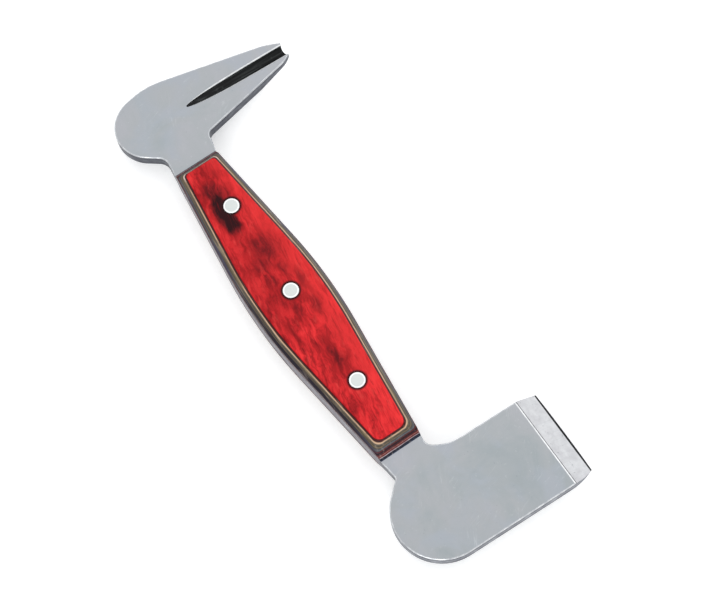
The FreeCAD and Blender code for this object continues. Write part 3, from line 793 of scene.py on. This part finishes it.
def groove_black():
    """The groove: near-black as painted shade and dark reflection of its hollow, with marks along
    its length.
    """
    s = Surface("groove_black", Metallic=0.2, Specular_IOR_Level=0.25)
    marks = s.noise(s.spot((1500, 26, 1500), GROOVE_LEAN), 1.0, 4.0, 0.65)
    # Painted shade: the groove's near-black tones.
    tone = s.ramp(marks, [(0.32, srgb(5, 6, 7)), (0.52, srgb(16, 18, 19)),
                          (0.74, srgb(66, 70, 70))])
    dust = s.ease(s.noise(s.spot(), 500.0, 3.0), 0.58, 0.72, 0.0, 0.26)
    tone = s.mix(dust, tone, srgb(76, 80, 80))
    return s.finish(tone, s.ease(marks, 0.3, 0.7, 0.62, 0.42), s.bump(marks, 0.05 * MM, 0.6))


def pin_metal(name, light, dark, roughness):
    """Bright pin metal with the curved marks of sanding."""
    s = Surface(name, Metallic=1.0)
    sanding = s.noise(s.spot((900, 60, 60), 0.6), 1.0, 3.0, 0.6)
    tone = s.ramp(sanding, [(0.35, dark), (0.65, light)])
    spread = s.ease(sanding, 0.3, 0.7, roughness, roughness + 0.10)
    return s.finish(tone, spread, s.bump(sanding, 0.015 * MM, 0.5))


def ply_material(colour, bands, drift, shaded=0.0, bleached=0.0):
    """One dyed veneer seen on its cut edge: fibres along X, thin layers and dark pores.

    bands are places and colours from the steel side of the veneer outwards, and drift is
    the colour that the veneer turns to here and there along its length. shaded is how far
    painted shade darkens the side away from the tips, and bleached how far it is sanded
    pale at the end by the pick.
    """
    s = Surface(f"ply_{colour}", Specular_IOR_Level=0.22)
    low, high = BOXES[f"front_veneer_{colour}"]
    wander = s.noise(s.spot((60, 200, 60)), 1.0, 3.0)
    wander = s.math("MULTIPLY", s.math("SUBTRACT", wander, 0.5), 0.45 * MM)
    depth = s.math("ADD", s.from_plate(), wander)
    share = s.math("DIVIDE", s.math("SUBTRACT", depth, low.z - PLATE_MIDDLE), high.z - low.z)
    tone = s.ramp(share, bands)
    cloud = s.noise(s.spot((55, 120, 120)), 1.0, 3.0, 0.55)
    tone = s.mix(s.ease(cloud, 0.46, 0.62, 0.0, 0.70), tone, drift)
    x = s.axis(s.place, 0)
    # Painted shade: the side away from the tips is darkened, more on the scraper half.
    lower = s.ease(s.axis(s.place, 1), -11.0 * MM, -7.0 * MM, shaded, 0.0)
    lower = s.math("MULTIPLY", lower, s.ease(x, -34.0 * MM, 4.0 * MM, 0.3, 1.0))
    tone = s.mix(lower, tone, srgb(22, 12, 28))
    pick_end = low.x + 1.5 * MM
    worn = s.ease(x, pick_end, pick_end + 3.0 * MM, bleached, 0.0)
    worn = s.math("MULTIPLY", worn, s.ease(share, 0.46, 0.62))
    tone = s.mix(worn, tone, srgb(226, 206, 200))
    fibre = s.noise(s.spot((45, 900, 900), 0.04), 1.0, 4.0, 0.6, 0.3)
    tone = s.mix(s.ease(fibre, 0.52, 0.78, 0.0, 0.45), tone, srgb(30, 22, 24))
    tone = s.mix(s.ease(fibre, 0.24, 0.46, 0.22, 0.0), tone, srgb(214, 196, 180))
    pore = s.ease(s.noise(s.spot((260, 2200, 2200), 0.04), 1.0, 2.0), 0.62, 0.70)
    tone = s.mix(s.math("MULTIPLY", pore, 0.5), tone, srgb(30, 18, 18))
    rough = s.ease(fibre, 0.3, 0.7, 0.36, 0.50)
    normal = s.bump(fibre, 0.05 * MM, 0.35)
    return s.finish(tone, rough, s.bump(pore, -0.03 * MM, 0.5, normal))


# Darker patches in the red veneers' figure: which pin each is near, its offset from that
# pin, its half sizes and how dark it is.
FIGURE_MM = (
    ("pin_pick", (6.2, -4.6), (7.0, 4.2), 1.15),
    ("pin_pick", (1.2, -4.4), (7.0, 4.4), 1.15),
    ("pin_pick", (-3.4, -3.2), (7.4, 4.8), 1.05),
    ("pin_pick", (-9.8, -3.6), (8.0, 5.4), 0.66),
    ("pin_pick", (-6.0, -0.4), (7.0, 5.0), 0.62),
    ("pin_pick", (-17.0, 2.0), (8.0, 8.0), 0.36),
    ("pin_middle", (-20.5, 1.6), (9.6, 10.0), 0.56),
    ("pin_middle", (-14.5, -3.6), (8.6, 8.0), 0.52),
    ("pin_middle", (-9.3, 3.4), (7.0, 3.2), 0.52),
    ("pin_middle", (-1.6, 6.2), (9.0, 2.8), 0.46),
    ("pin_middle", (-8.0, -4.0), (9.0, 4.6), 0.46),
    ("pin_middle", (9.8, 4.6), (9.0, 2.8), 0.54),
    ("pin_middle", (9.0, -2.0), (9.0, 4.0), 0.46),
    ("pin_scraper", (-12.4, -1.4), (10.0, 4.0), 0.56),
    ("pin_scraper", (7.4, -2.4), (6.0, 3.0), 0.24),
    ("pin_middle", (6.0, -9.0), (18.0, 1.8), 0.26),
)


def red_ply():
    """The dyed red face veneer: streaky bright figure with dark patches, under lacquer."""
    s = Surface("ply_red", Specular_IOR_Level=0.08, Coat_Weight=0.02, Coat_Roughness=0.25)
    wobble = s.add("ShaderNodeTexNoise", {"Vector": s.place, "Scale": 130.0, "Detail": 3.0})
    shifted = s.vector("SUBTRACT", wobble.outputs[1], (0.5, 0.5, 0.5))
    warped = s.vector("ADD", s.place, s.vector("MULTIPLY", shifted, (6.0 * MM,) * 3))
    turned = s.add("ShaderNodeMapping", {0: warped, 2: (0, 0, 0.22)}).outputs[0]
    turned = s.add("ShaderNodeMapping", {0: turned, 3: (110, 520, 520)}).outputs[0]
    streak = s.noise(turned, 1.0, 4.0, 0.6, 0.3)
    fibre = s.noise(s.spot((150, 1500, 1500), 0.16), 1.0, 3.0, 0.6)
    cloud = s.noise(warped, 75.0, 3.0, 0.5)
    figure = s.math("ADD", s.math("MULTIPLY", streak, 0.70), s.math("MULTIPLY", cloud, 0.30))
    tone = s.ramp(figure, [(0.34, srgb(126, 14, 20)), (0.43, srgb(172, 28, 32)),
                           (0.51, srgb(210, 38, 42)), (0.62, srgb(232, 50, 52))])
    broad = s.noise(warped, 34.0, 2.0, 0.5)
    tone = s.mix(s.ease(broad, 0.42, 0.56, 0.32, 0.0), tone, srgb(160, 26, 30))
    dark = 0.0
    for pin, offset, halves, strength in FIGURE_MM:
        centre, _ = pin_axis(pin)
        reach = s.reach(warped, centre.x + offset[0] * MM, centre.y + offset[1] * MM,
                        (halves[0] * MM, halves[1] * MM))
        dark = s.math("MAXIMUM", dark, s.ease(reach, 0.10, 1.30, strength, 0.0))
    torn = s.ease(figure, 0.38, 0.60, 1.20, 0.84)
    dark = s.math("MULTIPLY", dark, torn, clamp=True)
    shade_tone = s.ramp(dark, [(0.30, srgb(146, 18, 22)), (0.55, srgb(112, 16, 22)),
                               (0.90, srgb(44, 7, 13))])
    tone = s.mix(s.math("MULTIPLY", dark, 1.6, clamp=True), tone, shade_tone)
    bare = s.math("SUBTRACT", 1.0, dark, clamp=True)
    bright = s.ease(s.axis(warped, 1), -1.0 * MM, 9.0 * MM, 0.0, 0.55)
    tone = s.mix(s.math("MULTIPLY", bright, bare), tone, srgb(236, 54, 54))
    lines = s.ease(fibre, 0.53, 0.70, 0.0, 0.44)
    tone = s.mix(lines, tone, srgb(120, 14, 20))
    glints = s.noise(s.spot((160, 700, 700), 0.16, (2, 0, 0)), 1.0, 3.0)
    glints = s.ease(glints, 0.58, 0.74, 0.0, 0.26)
    tone = s.mix(s.math("MULTIPLY", glints, bare), tone, srgb(232, 84, 76))
    bottom = BOXES["front_veneer_red"][0].z - PLATE_MIDDLE
    foot = s.ease(s.from_plate(), bottom + 0.18 * MM, bottom + 0.36 * MM, 0.92, 0.0)
    tone = s.mix(foot, tone, srgb(62, 14, 16))
    ring = 0.0
    for pin in PINS:
        centre, radius = pin_axis(pin)
        reach = s.reach(s.place, centre.x, centre.y, (1.0, 1.0))
        near = s.ease(reach, radius + 0.40 * MM, radius + 1.3 * MM, 0.94, 0.0)
        ring = s.math("MAXIMUM", ring, near)
    tone = s.mix(ring, tone, srgb(38, 10, 14))
    rough = s.ease(figure, 0.35, 0.65, 0.44, 0.34)
    normal = s.bump(fibre, 0.02 * MM, 0.3)
    return s.finish(tone, rough, s.bump(cloud, 0.15 * MM, 0.15, normal))


# ---------------------------------------------------------------- pieces

FACE, SIDE, ARRIS, BEVEL, HONED, GROOVE, LIP = range(7)
build_steel([steel_face(), steel_side(), steel_arris(), steel_bevel(), steel_honed(),
             groove_black(), steel_lip_highlight()])

plies = {
    "navy": ply_material("navy", [(0.0, srgb(40, 58, 84)), (0.35, srgb(18, 27, 46)),
                                  (0.85, srgb(16, 18, 32))], srgb(28, 38, 56), 0.15),
    "mauve": ply_material("mauve", [(0.0, srgb(18, 20, 34)), (0.07, srgb(204, 192, 198)),
                                    (0.14, srgb(190, 172, 178)), (0.20, srgb(92, 30, 28)),
                                    (0.46, srgb(112, 40, 34)), (0.56, srgb(164, 116, 108)),
                                    (0.64, srgb(98, 34, 30)), (0.80, srgb(84, 22, 26)),
                                    (1.0, srgb(52, 10, 22))],
                          srgb(84, 48, 54), 0.20),
    "black": ply_material("black", [(0.0, srgb(34, 8, 20)), (1.0, srgb(28, 10, 22))],
                          srgb(34, 22, 34), 0.9),
    "sand": ply_material("sand", [(0.0, srgb(84, 26, 28)), (0.24, srgb(104, 38, 34)),
                                  (0.30, srgb(30, 12, 22)), (0.38, srgb(66, 60, 64)),
                                  (0.52, srgb(98, 99, 102)), (1.0, srgb(74, 72, 74))],
                         srgb(74, 72, 94), 0.95),
    "olive": ply_material("olive", [(0.0, srgb(68, 62, 58)), (0.5, srgb(118, 104, 82)),
                                    (1.0, srgb(56, 48, 42))], srgb(82, 72, 60), 0.40),
    "tan": ply_material("tan", [(0.0, srgb(78, 74, 66)), (0.42, srgb(92, 84, 72)),
                                (0.56, srgb(196, 164, 132)), (0.84, srgb(206, 172, 142)),
                                (0.96, srgb(112, 72, 54))],
                        srgb(128, 112, 82), bleached=0.7),
    "brown": ply_material("brown", [(0.0, srgb(84, 40, 32)), (0.4, srgb(46, 16, 16)),
                                    (1.0, srgb(60, 12, 14))], srgb(52, 22, 20)),
    "red": red_ply(),
}
outlines = [scale_ring(SCALE_HEIGHT * i / OUTLINE_STEPS) for i in range(OUTLINE_STEPS + 1)]
build_scale("front", outlines, plies)
build_scale("back", outlines, plies)

pin_surfaces = [
    pin_metal("pin_end", srgb(202, 206, 203), srgb(190, 196, 195), 0.36),
    # Painted highlight: the lighter metal on the pins' outer end rings and sides.
    pin_metal("pin_rim_highlight", srgb(236, 238, 237), srgb(224, 227, 226), 0.34),
]
for pin in PINS:
    build_pin(pin, pin_surfaces)


# ---------------------------------------------------------------- studio

FLOOR_HALF, FLOOR_CELLS = 3.0, 24
LIGHTS_AIM = (0.005, 0.01, 0.0)


def build_floor():
    """A plain pale floor under the tool."""
    bm = bmesh.new()
    bmesh.ops.create_grid(bm, x_segments=FLOOR_CELLS, y_segments=FLOOR_CELLS, size=FLOOR_HALF)
    mesh = bpy.data.meshes.new("floor")
    bm.to_mesh(mesh)
    bm.free()
    s = Surface("floor_pale", Specular_IOR_Level=0.1, Emission_Strength=0.34)
    s.shader.inputs["Emission Color"].default_value = (1.0, 1.0, 1.0, 1.0)
    paper = s.noise(s.spot(), 400.0, 2.0)
    tone = s.ramp(paper, [(0.3, (0.90, 0.90, 0.90, 1.0)), (0.7, (0.92, 0.92, 0.92, 1.0))])
    rough = s.ease(paper, 0.3, 0.7, 0.85, 0.95)
    mesh.materials.append(s.finish(tone, rough, s.bump(paper, 0.01 * MM, 0.1)))
    floor = bpy.data.objects.new("floor", mesh)
    floor.location.z = cad_bounds[0].z
    bpy.context.scene.collection.objects.link(floor)


def softbox(name, place, width, height, radiance):
    """A rectangular light that is seen in reflections but not by the camera."""
    light = bpy.data.lights.new(name, "AREA")
    light.shape = "RECTANGLE"
    light.size, light.size_y = width, height
    light.energy = radiance * math.pi * width * height
    lamp = bpy.data.objects.new(name, light)
    lamp.location = place
    lamp.rotation_euler = (Vector(LIGHTS_AIM) - Vector(place)).to_track_quat("-Z", "Y").to_euler()
    lamp.visible_camera = False
    bpy.context.scene.collection.objects.link(lamp)


def build_lights():
    """A pale surround and four softboxes."""
    world = bpy.data.worlds.new("studio")
    world.use_nodes = True
    background = world.node_tree.nodes["Background"]
    background.inputs["Color"].default_value = (0.97, 0.985, 1.0, 1.0)
    background.inputs["Strength"].default_value = 0.60
    bpy.context.scene.world = world
    softbox("overhead", (-0.50, 0.25, 1.45), 1.5, 1.5, 1.0)
    softbox("behind", (-0.25, 1.45, 0.72), 2.2, 1.4, 0.85)
    softbox("side", (1.55, 0.22, 0.52), 1.0, 0.7, 1.6)
    softbox("key", (0.85, -0.85, 0.95), 0.9, 0.9, 2.8)


CAMERA_PLACE_MM = (300.27, -116.77, 857.83)
CAMERA_AIM_MM = (13.65, 21.45, 12.7)
CAMERA_UP_BEARING = math.radians(145.84)
CAMERA_LENS = 116.95
CAMERA_SENSOR = 36.0


def build_camera():
    """The photograph's viewing angle."""
    place, aim = Vector(CAMERA_PLACE_MM) * MM, Vector(CAMERA_AIM_MM) * MM
    back = (place - aim).normalized()
    hint = Vector((math.cos(CAMERA_UP_BEARING), math.sin(CAMERA_UP_BEARING), 0.0))
    right = hint.cross(back).normalized()
    up = back.cross(right)
    data = bpy.data.cameras.new("camera")
    data.lens = CAMERA_LENS
    data.sensor_width = CAMERA_SENSOR
    data.clip_start = 0.01
    camera = bpy.data.objects.new("camera", data)
    turn = Matrix((right, up, back)).transposed().to_4x4()
    camera.matrix_world = Matrix.Translation(place) @ turn
    bpy.context.scene.collection.objects.link(camera)
    bpy.context.scene.camera = camera


build_floor()
build_lights()
build_camera()
bpy.context.scene.view_settings.view_transform = "Standard"
